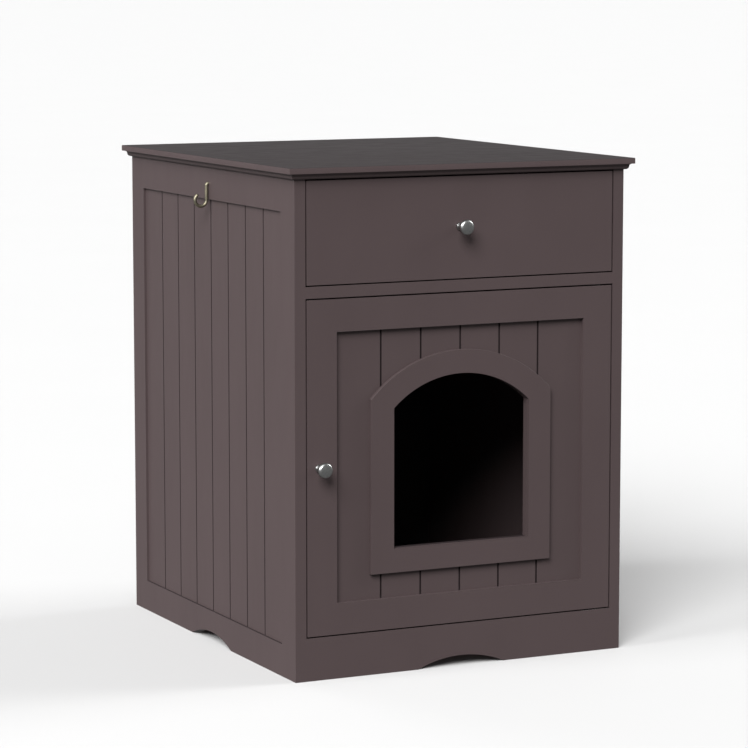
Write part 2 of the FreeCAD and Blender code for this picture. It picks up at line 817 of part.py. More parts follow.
# Roller slides, left-hand pair. The cabinet member is a channel with a roller at its front
# end. The drawer member wraps the drawer side's lower edge, with a roller at its rear end.
cabinet_roller_y = front_thickness + slide_front_gap + cabinet_roller_inset
cabinet_roller_z = drawer_side_z + roller_rise
drawer_roller_y = drawer_rear_y - drawer_roller_inset
drawer_roller_z = cabinet_roller_z - roller_drop
track_z = cabinet_roller_z + roller_radius + rolling_clearance
channel_floor_z = drawer_roller_z - roller_radius - rolling_clearance
channel_roof_z = track_z + sheet + lip_clearance
cabinet_web_x = -inner_half + sheet
drawer_web_x = -drawer_side_out - sheet
cabinet_roller_x = cabinet_web_x + roller_side_gap
drawer_roller_x = drawer_web_x - roller_side_gap - roller_width
lip_x = drawer_web_x - lip_gap
track_x = cabinet_web_x + track_gap
slide_y0 = front_thickness + slide_front_gap
slide_y1 = drawer_rear_y + slide_front_gap
slide_screw_ys = (slide_y0 + slide_screw_inset, (slide_y0 + slide_y1) / 2, slide_y1 - slide_screw_inset)
cabinet_screw_z = (channel_floor_z + channel_roof_z) / 2
drawer_slide_screw_x = -(drawer_side_out + drawer_side_in) / 2


def pressed_section(points, y0, y1):
    """Sheet of even thickness bent along a line of (x, z) points, with round outer bends."""
    line = Part.makePolygon([Vec(x, y0, z) for x, z in points])
    face = line.makeOffset2D(sheet, 0, True, True, False)
    return face.extrude(REAR * (y1 - y0))


def axle(start, outward):
    """Riveted axle with a flat head, standing from a web through the roller."""
    length = roller_side_gap + roller_width + axle_end_play
    shaft = rod(start, outward, axle_radius, length)
    head = rod(start + outward * length, outward, axle_head_radius, axle_head_height)
    return [shaft, head]


def drawer_stop():
    """Block on the channel's floor that the drawer roller meets at the end of its travel."""
    roller_end_y = drawer_roller_y - drawer_travel
    contact = math.sqrt(roller_radius ** 2 - (roller_radius - stop_height) ** 2)
    y1 = roller_end_y - contact - lip_clearance
    return box(cabinet_web_x, lip_x, y1 - stop_length, y1, channel_floor_z - sheet / 2,
               channel_floor_z + stop_height)


def left_cabinet_slide():
    """Channel whose front end is cut back above and below its roller."""
    line = [(lip_x, channel_floor_z), (cabinet_web_x, channel_floor_z),
            (cabinet_web_x, channel_roof_z), (lip_x, channel_roof_z)]
    channel = pressed_section(line, slide_y0, slide_y1)
    nose_y0 = slide_y0 - cut_over
    nose_y1 = cabinet_roller_y + roller_radius + slide_nose_gap
    nose_x1 = lip_x + cut_over
    roof = box(-inner_half - cut_over, nose_x1, nose_y0, nose_y1, channel_roof_z - sheet,
               channel_roof_z + sheet + cut_over)
    floor = box(cabinet_web_x, nose_x1, nose_y0, nose_y1,
                channel_floor_z - sheet - cut_over, cabinet_roller_z)
    rivet = axle(Vec(cabinet_web_x, cabinet_roller_y, cabinet_roller_z), RIGHT)
    radius = screw_radius + screw_hole_clearance
    holes = [rod(Vec(-inner_half - cut_over, y, cabinet_screw_z), RIGHT, radius, sheet + 2 * cut_over)
             for y in slide_screw_ys]
    return fused([channel.cut([roof, floor]), drawer_stop()] + rivet).cut(holes)


def left_drawer_slide():
    """Angle under the drawer side, with a web up its face and a track bent out at the top."""
    flange_z = track_z + sheet
    line = [(-drawer_side_in, drawer_side_z), (-drawer_side_out, drawer_side_z),
            (-drawer_side_out, flange_z), (track_x, flange_z)]
    member = pressed_section(line, front_thickness, drawer_rear_y)
    rivet = axle(Vec(drawer_web_x, drawer_roller_y, drawer_roller_z), LEFT)
    radius = screw_radius + screw_hole_clearance
    start_z = drawer_side_z - sheet - cut_over
    holes = [rod(Vec(drawer_slide_screw_x, y, start_z), UP, radius, sheet + 2 * cut_over)
             for y in slide_screw_ys]
    return fused([member] + rivet).cut(holes)


def roller(x, y, z):
    """Nylon roller with a boss, a dished ring and an eased rim."""
    hub = axle_radius + running_clearance
    boss = axle_head_radius + roller_boss_margin
    rim = roller_radius - roller_rim
    shoulder = roller_radius - roller_ease
    back = roller_width
    near = [(0, hub), (0, boss), (roller_dish, boss), (roller_dish, rim), (0, rim), (0, shoulder)]
    tread = [(roller_ease, roller_radius), (back - roller_ease, roller_radius)]
    far = [(back, shoulder), (back, rim), (back - roller_dish, rim), (back - roller_dish, boss), (back, boss)]
    return turned(near + tread + far + [(back, hub)], Vec(x, y, z), RIGHT)


def cabinet_slide_screw_cuts():
    depth = slide_screw_length - sheet + blind_clearance + cut_over
    start_x = -inner_half + cut_over
    return [rod(Vec(start_x, y, cabinet_screw_z), LEFT, screw_radius + drill_clearance, depth)
            for y in slide_screw_ys]


def drawer_slide_screw_cuts():
    depth = drawer_slide_screw_length - sheet + blind_clearance + cut_over
    start_z = drawer_side_z - cut_over
    return [rod(Vec(drawer_slide_screw_x, y, start_z), UP, screw_radius + drill_clearance, depth)
            for y in slide_screw_ys]


def small_pan_screws(seats, direction, length):
    sizes = (length, screw_radius, screw_head_radius, screw_head_height)
    return [pan_screw(seat, direction, *sizes) for seat in seats]


def both_sides_of_all(shapes):
    return Part.makeCompound(shapes + [mirrored(shape) for shape in shapes])


def cabinet_slide_screws():
    seats = [Vec(cabinet_web_x, y, cabinet_screw_z) for y in slide_screw_ys]
    return both_sides_of_all(small_pan_screws(seats, LEFT, slide_screw_length))


def drawer_slide_screws():
    seats = [Vec(drawer_slide_screw_x, y, drawer_side_z - sheet) for y in slide_screw_ys]
    return both_sides_of_all(small_pan_screws(seats, UP, drawer_slide_screw_length))


# Scoop hook, a bent wire whose screw end is driven into the left side's upper rail
hook_y = body_depth / 2
hook_z = body_height - side_frame_width / 2
hook_shank_x = -half_width - hook_gap - hook_wire_radius


def scoop_hook():
    """Wire out of the panel, down along it and round in an open loop that ends in a ball."""
    bend = hook_wire_radius + hook_gap
    stub_end = Vec(-half_width + hook_bite, hook_y, hook_z)
    bend_start = Vec(hook_shank_x + bend, hook_y, hook_z)
    bend_middle = bend_start + LEFT * (bend * sin_45) + DOWN * (bend * (1 - sin_45))
    shank_top = Vec(hook_shank_x, hook_y, hook_z - bend)
    shank_foot = Vec(hook_shank_x, hook_y, hook_z - hook_shank_length)
    curl_x = hook_shank_x - hook_curl_radius

    def on_curl(turn):
        angle = math.radians(-turn)
        rise = hook_curl_radius * math.sin(angle)
        return Vec(curl_x + hook_curl_radius * math.cos(angle), hook_y, shank_foot.z + rise)

    path = Part.Wire([Part.LineSegment(stub_end, bend_start).toShape(),
                      Part.Arc(bend_start, bend_middle, shank_top).toShape(),
                      Part.LineSegment(shank_top, shank_foot).toShape(),
                      Part.Arc(shank_foot, on_curl(hook_sweep / 2), on_curl(hook_sweep)).toShape()])
    ring = Part.Wire(Part.Circle(stub_end, LEFT, hook_wire_radius).toShape())
    wire = path.makePipeShell([ring], True, True)
    tip = Part.makeSphere(hook_wire_radius, on_curl(hook_sweep))
    return fused([wire, tip])


# Magnetic catch under the divider shelf, and its strike plate on the door
catch_x = -door_half + door_stile_width / 2
catch_y = front_thickness + strike_thickness + strike_gap + pole_reach
catch_z = divider_z - catch_height / 2
catch_lug_z = divider_z - catch_lug_height
catch_screw_reach = (catch_width + catch_lug) / 2
catch_screw_places = [(catch_x + side * catch_screw_reach, catch_y + catch_depth / 2) for side in (-1, 1)]


def magnetic_catch():
    """Moulded housing with two screw lugs and slots for its pole plates."""
    half = catch_width / 2
    rear_y = catch_y + catch_depth
    block = box(catch_x - half, catch_x + half, catch_y, rear_y, divider_z - catch_height, divider_z)
    upright = [edge for edge in block.Edges if abs(edge.tangentAt(0).z) > 0.9]
    lug_x = half + catch_lug
    lugs = box(catch_x - lug_x, catch_x + lug_x, catch_y + pole_thickness, rear_y, catch_lug_z, divider_z)
    radius = screw_radius + screw_hole_clearance
    depth = catch_lug_height + 2 * cut_over
    holes = [rod(Vec(x, y, catch_lug_z - cut_over), UP, radius, depth) for x, y in catch_screw_places]
    housing = fused([block.makeFillet(catch_corner_radius, upright), lugs])
    return housing.cut(holes).cut(pole_plates(drill_clearance))


def pole_plates(grow):
    half_x = catch_width / 2 - pole_inset + grow
    half_z = pole_thickness / 2 + grow
    front_y = catch_y - pole_reach
    rear_y = catch_y + catch_depth / 2 + grow
    plates = []
    for side in (-1, 1):
        z = catch_z + side * catch_height / 4
        plates.append(box(catch_x - half_x, catch_x + half_x, front_y, rear_y, z - half_z, z + half_z))
    return Part.makeCompound(plates)


def catch_screws():
    seats = [Vec(x, y, catch_lug_z) for x, y in catch_screw_places]
    return Part.makeCompound(small_pan_screws(seats, UP, catch_screw_length))


def strike_plate():
    half_x = strike_width / 2
    half_z = strike_height / 2
    rear_y = front_thickness + strike_thickness
    plate = box(catch_x - half_x, catch_x + half_x, front_thickness, rear_y,
                catch_z - half_z, catch_z + half_z)
    corners = [edge for edge in plate.Edges if abs(edge.tangentAt(0).y) > 0.9]
    radius = screw_radius + drill_clearance
    hole = countersunk_hole(Vec(catch_x, rear_y, catch_z), FRONT, strike_thickness + cut_over, radius,
                            radius + strike_thickness)
    return plate.makeFillet(strike_corner_radius, corners).cut(hole)


def strike_screw():
    mouth = Vec(catch_x, front_thickness + strike_thickness, catch_z)
    return countersunk_screw(mouth, FRONT, strike_screw_length, screw_radius, screw_radius + strike_thickness)


def on_both_sides(fittings, make):
    return both_sides_of_all([make(fitting) for fitting in fittings])


left_side_panel = side_panel()
left_cabinet_roller = roller(cabinet_roller_x, cabinet_roller_y, cabinet_roller_z)
left_drawer_roller = roller(drawer_roller_x, drawer_roller_y, drawer_roller_z)
left_drawer_side = drawer_left_side()
left_cabinet_member = left_cabinet_slide()
left_drawer_member = left_drawer_slide()

nodes = {
    "top_panel": top_panel(),
    "left_side_panel": left_side_panel.cut(hook_hole()),
    "right_side_panel": mirrored(left_side_panel),
    "bottom_panel": bottom_panel(),
    "divider_shelf": divider_shelf(),
    "front_plinth": front_plinth(),
    "rear_plinth": rear_plinth(),
    "rear_top_rail": rear_top_rail(),
    "back_panel": back_panel(),
    "cam_locks": on_both_sides(all_cams, CamFitting.cam),
    "cam_bolts": on_both_sides(all_cams, CamFitting.bolt),
    "wood_dowels": on_both_sides(shelf_dowels + floor_dowels + top_dowels, Dowel.peg),
    "left_cabinet_slide": left_cabinet_member,
    "right_cabinet_slide": mirrored(left_cabinet_member),
    "cabinet_slide_screws": cabinet_slide_screws(),
    "left_cabinet_roller": left_cabinet_roller,
    "right_cabinet_roller": mirrored(left_cabinet_roller),
    "upper_hinge_frame_leaf": frame_leaf(divider_z, UP),
    "lower_hinge_frame_leaf": frame_leaf(bottom_top_z, DOWN),
    "hinge_washers": hinge_washers(),
    "hinge_frame_screws": Part.makeCompound(leaf_screws(divider_z, UP) + leaf_screws(bottom_top_z, DOWN)),
    "magnetic_catch": magnetic_catch(),
    "catch_pole_plates": pole_plates(0),
    "catch_screws": catch_screws(),
    "scoop_hook": scoop_hook(),
    "drawer_front": drawer_front(),
    "drawer_left_side": left_drawer_side,
    "drawer_right_side": mirrored(left_drawer_side),
    "drawer_back": drawer_back(),
    "drawer_bottom": drawer_bottom(),
    "drawer_cam_locks": on_both_sides(drawer_cams, CamFitting.cam),
    "drawer_cam_bolts": on_both_sides(drawer_cams, CamFitting.bolt),
    "drawer_box_screws": drawer_box_screws(),
    "left_drawer_slide": left_drawer_member,
    "right_drawer_slide": mirrored(left_drawer_member),
    "drawer_slide_screws": drawer_slide_screws(),
    "left_drawer_roller": left_drawer_roller,
    "right_drawer_roller": mirrored(left_drawer_roller),
    "drawer_knob": knob(drawer_knob_offset, drawer_knob_z),
    "drawer_knob_screw": knob_screw(drawer_knob_offset, drawer_knob_z),
    "door_left_stile": door_left_stile(),
    "door_right_stile": door_right_stile(),
    "door_top_rail": door_rail(door_top_z, field_top_z),
    "door_bottom_rail": door_rail(door_z, field_z),
    "door_field_panel": door_field_panel(),
    "arch_surround": arch_surround(),
    "door_knob": knob(door_knob_x, door_knob_z),
    "door_knob_screw": knob_screw(door_knob_x, door_knob_z),
    "upper_hinge_door_leaf": door_leaf(door_top_z, DOWN),
    "lower_hinge_door_leaf": door_leaf(door_z, UP),
    "hinge_door_screws": Part.makeCompound(leaf_screws(door_top_z, DOWN) + leaf_screws(door_z, UP)),
    "strike_plate": strike_plate(),
    "strike_screw": strike_screw(),
}

# The origin is on the floor under the middle of everything, the hook and the knobs included
left_reach = -hook_shank_x + 2 * hook_curl_radius + hook_wire_radius
right_reach = half_width + top_overhang
origin_x = (right_reach - left_reach) / 2
origin_y = (body_depth + top_overhang - knob_reach) / 2

os.makedirs("parts", exist_ok=True)
for name, shape in nodes.items():
    placed = shape.copy()
    placed.translate(Vec(-origin_x, -origin_y, 0))
    placed.exportStep("parts/" + name + ".step")
    bounds = placed.BoundBox
    print("%-24s solids %2d  valid %s  x %.1f %.1f  y %.1f %.1f  z %.1f %.1f" % (
        name, len(placed.Solids), placed.isValid(), bounds.XMin, bounds.XMax, bounds.YMin, bounds.YMax,
        bounds.ZMin, bounds.ZMax))
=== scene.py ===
import json
import math

import bmesh
import bpy
from bpy.props import FloatProperty, FloatVectorProperty, PointerProperty
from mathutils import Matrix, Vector


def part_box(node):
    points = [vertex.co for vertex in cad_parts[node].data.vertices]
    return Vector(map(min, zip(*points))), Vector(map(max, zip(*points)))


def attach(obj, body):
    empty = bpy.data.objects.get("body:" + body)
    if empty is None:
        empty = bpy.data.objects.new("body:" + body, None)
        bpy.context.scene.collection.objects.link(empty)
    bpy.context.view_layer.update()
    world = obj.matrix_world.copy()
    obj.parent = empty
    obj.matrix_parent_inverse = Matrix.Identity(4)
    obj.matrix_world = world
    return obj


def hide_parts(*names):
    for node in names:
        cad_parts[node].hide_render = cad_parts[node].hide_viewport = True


bl_info = {
    "name": "Litter box enclosure",
    "version": (1, 0, 0),
    "blender": (4, 5, 0),
    "location": "3D View > Sidebar > Litter box",
    "description": "Finishes, fasteners, stage and camera round the packed litter box enclosure",
    "category": "Object",
}

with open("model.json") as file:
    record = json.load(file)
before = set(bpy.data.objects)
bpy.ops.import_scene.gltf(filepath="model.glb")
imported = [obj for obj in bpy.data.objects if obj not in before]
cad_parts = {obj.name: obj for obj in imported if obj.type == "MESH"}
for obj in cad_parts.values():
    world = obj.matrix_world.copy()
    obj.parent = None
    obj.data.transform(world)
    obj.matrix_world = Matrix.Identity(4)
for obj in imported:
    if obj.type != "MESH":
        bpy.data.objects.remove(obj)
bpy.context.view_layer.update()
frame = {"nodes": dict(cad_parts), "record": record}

MM = 0.001
record = frame["record"]
body_of = {node: body for body, nodes in record["behaviour"]["bodies"].items() for node in nodes}
slot_of = {part["node"]: part["material_slot"] for part in record["subparts"]}
bottom_low, bottom_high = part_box("bottom_panel")
side_low, side_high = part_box("left_side_panel")
top_low, top_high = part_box("top_panel")
stile_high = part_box("door_left_stile")[1]
middle_x = (bottom_low.x + bottom_high.x) / 2
merge_distance = 0.001 * MM
flat_angle = math.radians(0.3)
sharp_angle = math.radians(32)
eased_angle = math.radians(25)
plane_tolerance = 0.02 * MM
shortest_eased = 4
bevel_segments = 2
curve_steps = 8
facing_share = 0.3
drift_low, drift_high = 0.3, 0.7
horizon_height, overhead_height = 0.2, 0.8
head_steps = 32
thread_steps = 16
thread_corners = 4
floor_steps = 96
sensor_width = 36.0
farthest_seen = 100.0


# Sizes and colours that a user may change
def length_property(name, description, default):
    return FloatProperty(name=name, description=description, default=default, min=0.0, unit="LENGTH",
                         precision=5)


def colour_property(name, description, default):
    return FloatVectorProperty(name=name, description=description, default=default, subtype="COLOR", size=3,
                               min=0.0, max=1.0)


def share_property(name, description, default):
    return FloatProperty(name=name, description=description, default=default, min=0.0, max=1.0,
                         subtype="FACTOR")


def strength_property(name, description, default):
    return FloatProperty(name=name, description=description, default=default, min=0.0)


def angle_property(name, description, default):
    return FloatProperty(name=name, description=description, default=default, subtype="ANGLE",
                         unit="ROTATION")


def direction_property(name, description, default):
    return FloatVectorProperty(name=name, description=description, default=default, subtype="XYZ", size=3,
                               precision=5)


class BoardSettings(bpy.types.PropertyGroup):
    ease: length_property("Edge ease", "Width of the eased edges of the painted boards", 0.45 * MM)
    recess: length_property("Side recess", "Depth of the boarded field in the side panels", 3.5 * MM)
    groove: length_property("Groove depth", "Depth of the grooves between boards", 3.2 * MM)
    thin_ease: length_property("Thin edge ease", "Width of eased edges on thin boards and metal", 0.15 * MM)
    fascia_height: length_property("Fascia height", "Height of the square edge of the top", 8.0 * MM)
    fascia_ease: length_property("Fascia ease", "Radius on the upper edge of the top", 0.9 * MM)
    edge_ledge: length_property("Ledge", "Step back under the fascia before the cove", 2.2 * MM)
    cove_radius: length_property("Cove radius", "Radius of the hollow under the fascia", 3.9 * MM)


class FinishSettings(bpy.types.PropertyGroup):
    paint: colour_property("Paint", "Grey-brown paint of the boards", (0.074, 0.0545, 0.0555))
    # Painted shade: the top is painted darker and cooler than the boards, standing in for the weaker light
    # that falls on it.
    top_shade_colour: colour_property("Paint on top", "Cooler paint of the top panel", (0.036, 0.031, 0.0318))
    # Painted shade: the eased edges are painted darker than the boards to tone down the highlights they
    # catch.
    edge_shade_colour: colour_property("Paint on edges", "Thinner paint on the eased edges", (0.066, 0.049, 0.050))
    # Painted shade: the grooves are painted darker, standing in for the shade inside them; the paint there
    # is also rougher.
    groove_shade_colour: colour_property("Paint in grooves", "Matt paint in the grooves", (0.030, 0.022, 0.023))
    paint_roughness: share_property("Paint roughness", "Roughness of the satin paint", 0.42)
    hardboard: colour_property("Hardboard", "Drawer's bottom and outside of the back", (0.060, 0.045, 0.047))
    # Painted shade: the inside of the back is a near-black coat that stands in for the shade inside the
    # cabinet.
    back_painted_shade: colour_property("Back board", "Dark coat on the inside of the back", (0.018, 0.015, 0.015))
    drawer_board: colour_property("Drawer board", "Drawer's sides and back", (0.070, 0.052, 0.054))
    enamel: colour_property("Slide enamel", "White coating of the roller slides", (0.78, 0.78, 0.75))
    nylon: colour_property("Nylon", "Rollers", (0.70, 0.70, 0.66))
    zinc: colour_property("Zinc plate", "Screws, bolts, hinge leaves and catch plates", (0.66, 0.68, 0.70))
    cast: colour_property("Cast alloy", "Cam locks", (0.50, 0.51, 0.53))
    plastic: colour_property("Dark plastic", "Catch housing and hinge washers", (0.022, 0.020, 0.020))
    beech: colour_property("Beech", "Dowels", (0.56, 0.36, 0.19))
    nickel: colour_property("Satin nickel", "Knobs", (0.36, 0.365, 0.36))
    brass: colour_property("Antique brass", "Scoop hook", (0.25, 0.235, 0.18))


class FastenerSettings(bpy.types.PropertyGroup):
    pan_height: length_property("Pan head height", "Height of the domed screw heads", 1.6 * MM)
    knob_screw_height: length_property("Knob screw head", "Height of the knob screws' heads", 2.4 * MM)
    thread_pitch: length_property("Thread pitch", "Rise of a wood screw's thread per turn", 1.1 * MM)
    thread_depth: length_property("Thread depth", "How far the thread stands out", 0.28 * MM)
    recess_width: length_property("Cross recess", "Width of the arms of the cross recess", 0.7 * MM)
    recess_length: share_property("Recess length", "Length of the arms over the head's radius", 0.95)
    recess_depth: share_property("Recess depth", "Depth of the cross recess over the head's radius", 0.32)
    face_share: share_property("Head face", "Flat face of a domed head over the head's radius", 0.72)


class StageSettings(bpy.types.PropertyGroup):
    camera_place: direction_property("Camera", "Where the camera stands", (-1.93854, -3.99890, 0.95195))
    camera_turn: angle_property("Camera turn", "Turn of the view to the right of straight ahead", 0.453236)
    camera_dip: angle_property("Camera dip", "How far the view dips below level", 0.130132)
    lens: FloatProperty(name="Lens", description="Focal length in mm on a 36 mm sensor", default=150.01)
    floor: colour_property("Floor", "Pale floor", (0.595, 0.595, 0.595))
    floor_radius: length_property("Floor radius", "How far the floor reaches", 150.0)
    overhead: strength_property("Overhead", "Strength of the even light from above", 0.3)
    horizon: strength_property("Horizon", "Strength of the even light from the sides and below", 0.22)
    key_strength: strength_property("Key light", "Strength of the light left of the camera", 4.15)
    key_spread: angle_property("Key spread", "Angle that the light left of the camera fills", 0.6)
    key_direction: direction_property("Key direction", "Where the key light shines", (0.51, 0.60, -0.61))
    side_strength: strength_property("Side light", "Strength of the broad light on the left", 2.1)
    side_direction: direction_property("Side direction", "Where the side light shines", (0.88, 0.0, -0.47))
    right_strength: strength_property("Right light", "Strength of the broad light on the right", 2.0)
    right_direction: direction_property("Right direction", "Where the right light shines", (-0.9, 0.1, -0.5))
    back_strength: strength_property("Back light", "Strength of the low light behind", 1.0)
    back_direction: direction_property("Back direction", "Where the back light shines", (0.25, -0.95, -0.18))
    soft_spread: angle_property("Soft spread", "Angle that the broad lights fill", 0.5)


def settings():
    return bpy.context.scene.litter_box_boards


def finishes():
    return bpy.context.scene.litter_box_finishes


# Node trees
def add_node(tree, kind, inputs=None, **choices):
    """New node whose inputs are plain values or other nodes' outputs."""
    node = tree.nodes.new(kind)
    for name, value in choices.items():
        setattr(node, name, value)
    for name, value in (inputs or {}).items():
        if isinstance(value, bpy.types.NodeSocket):
            tree.links.new(value, node.inputs[name])
        else:
            node.inputs[name].default_value = value
    return node


def start_surface(name, roughness, metallic=0.0):
    """Material with its node tree, its shader and the object's coordinates."""
    material = bpy.data.materials.new(name)
    material.use_nodes = True
    tree = material.node_tree
    shader = tree.nodes["Principled BSDF"]
    shader.inputs["Roughness"].default_value = roughness
    shader.inputs["Metallic"].default_value = metallic
    coordinates = add_node(tree, "ShaderNodeTexCoord").outputs["Object"]
    return material, tree, shader, coordinates


def noise(tree, coordinates, size, detail=3.0, stretch=(1.0, 1.0, 1.0)):
    """Noise whose blobs measure about the size in metres, longer along a stretched axis."""
    scale = [1.0 / (size * long) for long in stretch]
    mapped = add_node(tree, "ShaderNodeMapping", {"Vector": coordinates, "Scale": scale})
    texture = add_node(tree, "ShaderNodeTexNoise", {
        "Vector": mapped.outputs[0], "Scale": 1.0, "Detail": detail})
    return texture.outputs["Fac"]


def drift_colour(tree, shader, colour, factor, spread, tint=(1.0, 1.0, 1.0)):
    """Base colour that drifts from darker to lighter about its own value."""
    ramp = add_node(tree, "ShaderNodeValToRGB", {"Fac": factor})
    dark, light = ramp.color_ramp.elements
    dark.position = drift_low
    light.position = drift_high
    dark.color = [c * (1 - spread) for c in colour] + [1.0]
    light.color = [min(1.0, c * (1 + spread) * t) for c, t in zip(colour, tint)] + [1.0]
    tree.links.new(ramp.outputs["Color"], shader.inputs["Base Color"])


def drift_roughness(tree, shader, factor, spread):
    """Roughness that drifts about its own value."""
    middle = shader.inputs["Roughness"].default_value
    mapped = add_node(tree, "ShaderNodeMapRange", {
        "Value": factor, "From Min": drift_low, "From Max": drift_high,
        "To Min": middle - spread, "To Max": middle + spread})
    tree.links.new(mapped.outputs["Result"], shader.inputs["Roughness"])


def add_relief(tree, shader, height, depth):
    """Bump of the given depth in metres on top of what the shader already has."""
    bump = add_node(tree, "ShaderNodeBump", {"Height": height, "Strength": 1.0, "Distance": depth})
    if shader.inputs["Normal"].is_linked:
        tree.links.new(shader.inputs["Normal"].links[0].from_socket, bump.inputs["Normal"])
    tree.links.new(bump.outputs["Normal"], shader.inputs["Normal"])


def painted(name, colour, roughness, fibre=1.0, sheen=0.2):
    """Sprayed satin paint: cloudy tone, slight smears in the gloss, orange peel and fine grit."""
    material, tree, shader, coordinates = start_surface(name, roughness)
    shader.inputs["Specular IOR Level"].default_value = sheen
    clouds = noise(tree, coordinates, size=90 * MM, detail=4.0, stretch=(1.0, 1.0, 2.0))
    smears = noise(tree, coordinates, size=28 * MM, detail=4.0, stretch=(1.0, 1.0, 3.0))
    drift_colour(tree, shader, colour, clouds, spread=0.03)
    drift_roughness(tree, shader, smears, spread=0.035)
    add_relief(tree, shader, noise(tree, coordinates, size=22 * MM, detail=1.0), depth=0.030 * MM)
    add_relief(tree, shader, noise(tree, coordinates, size=1.7 * MM, detail=2.0), depth=0.006 * MM * fibre)
    add_relief(tree, shader, noise(tree, coordinates, size=0.45 * MM, detail=2.0), depth=0.0015 * MM * fibre)
    return material


def hardboard(name, colour):
    """Thin board whose pressed fibres show through a lean coat of paint."""
    material, tree, shader, coordinates = start_surface(name, roughness=0.62)
    fibres = noise(tree, coordinates, size=1.2 * MM, detail=5.0, stretch=(1.0, 1.0, 5.0))
    drift_colour(tree, shader, colour, fibres, spread=0.10)
    drift_roughness(tree, shader, fibres, spread=0.06)
    add_relief(tree, shader, fibres, depth=0.020 * MM)
    return material


def coated_steel(name, colour):
    """Baked white coating with a soft orange peel."""
    material, tree, shader, coordinates = start_surface(name, roughness=0.33)
    drift_colour(tree, shader, colour, noise(tree, coordinates, size=40 * MM), spread=0.02)
    add_relief(tree, shader, noise(tree, coordinates, size=2.2 * MM, detail=2.0), depth=0.012 * MM)
    shader.inputs["Coat Weight"].default_value = 0.25
    return material


def plated_steel(name, colour):
    """Bright zinc: drawn lines, faint bluish clouds and dulled patches."""
    material, tree, shader, coordinates = start_surface(name, roughness=0.30, metallic=1.0)
    clouds = noise(tree, coordinates, size=3.5 * MM)
    patches = noise(tree, coordinates, size=2.0 * MM, detail=4.0)
    lines = noise(tree, coordinates, size=0.12 * MM, detail=2.0, stretch=(14.0, 14.0, 1.0))
    drift_colour(tree, shader, colour, clouds, spread=0.07, tint=(0.98, 1.0, 1.04))
    drift_roughness(tree, shader, patches, spread=0.08)
    add_relief(tree, shader, lines, depth=0.0012 * MM)
    return material


def cast_alloy(name, colour):
    """Die-cast zinc with a grainy skin."""
    material, tree, shader, coordinates = start_surface(name, roughness=0.46, metallic=1.0)
    drift_colour(tree, shader, colour, noise(tree, coordinates, size=1.5 * MM, detail=5.0), spread=0.12)
    add_relief(tree, shader, noise(tree, coordinates, size=0.35 * MM, detail=4.0), depth=0.010 * MM)
    return material


def moulded_nylon(name, colour):
    """Milky nylon that lets a little light in."""
    material, tree, shader, coordinates = start_surface(name, roughness=0.38)
    drift_colour(tree, shader, colour, noise(tree, coordinates, size=6 * MM), spread=0.04)
    shader.inputs["Subsurface Weight"].default_value = 0.25
    shader.inputs["Subsurface Radius"].default_value = (1.0, 0.9, 0.7)
    shader.inputs["Subsurface Scale"].default_value = 1.5 * MM
    add_relief(tree, shader, noise(tree, coordinates, size=0.6 * MM, detail=2.0), depth=0.003 * MM)
    return material


def grained_plastic(name, colour):
    """Dark plastic from a spark-eroded mould."""
    grain_size = 0.4 * MM
    material, tree, shader, coordinates = start_surface(name, roughness=0.52)
    drift_colour(tree, shader, colour, noise(tree, coordinates, size=5 * MM), spread=0.08)
    mapped = add_node(tree, "ShaderNodeMapping", {"Vector": coordinates, "Scale": [1 / grain_size] * 3})
    cells = add_node(tree, "ShaderNodeTexVoronoi", {"Vector": mapped.outputs[0], "Scale": 1.0})
    add_relief(tree, shader, cells.outputs["Distance"], depth=0.012 * MM)
    return material


def bare_beech(name, colour):
    """Close-grained beech with short dark flecks."""
    material, tree, shader, coordinates = start_surface(name, roughness=0.55)
    grain = noise(tree, coordinates, size=0.7 * MM, detail=4.0, stretch=(12.0, 1.0, 1.0))
    drift_colour(tree, shader, colour, grain, spread=0.18)
    add_relief(tree, shader, grain, depth=0.015 * MM)
    return material


def satin_nickel(name, colour):
    """Nickel brushed in rings about the knob's own axis, read from the distance stored on its mesh."""
    material, tree, shader, coordinates = start_surface(name, roughness=0.34, metallic=1.0)
    distance = add_node(tree, "ShaderNodeAttribute", attribute_name="turning_radius").outputs["Fac"]
    across = add_node(tree, "ShaderNodeCombineXYZ", {"X": distance}).outputs["Vector"]
    rings = noise(tree, across, size=0.09 * MM, detail=2.0)
    drift_colour(tree, shader, colour, noise(tree, coordinates, size=3 * MM), spread=0.12)
    drift_roughness(tree, shader, rings, spread=0.06)
    add_relief(tree, shader, rings, depth=0.0010 * MM)
    return material


def antique_brass(name, colour):
    """Pale brass plate, darkened in clouds and rubbed lighter between them."""
    material, tree, shader, coordinates = start_surface(name, roughness=0.5, metallic=1.0)
    clouds = noise(tree, coordinates, size=5 * MM, detail=5.0)
    drift_colour(tree, shader, colour, clouds, spread=0.14, tint=(1.05, 1.0, 0.92))
    drift_roughness(tree, shader, clouds, spread=0.09)
    add_relief(tree, shader, noise(tree, coordinates, size=0.5 * MM), depth=0.004 * MM)
    return material


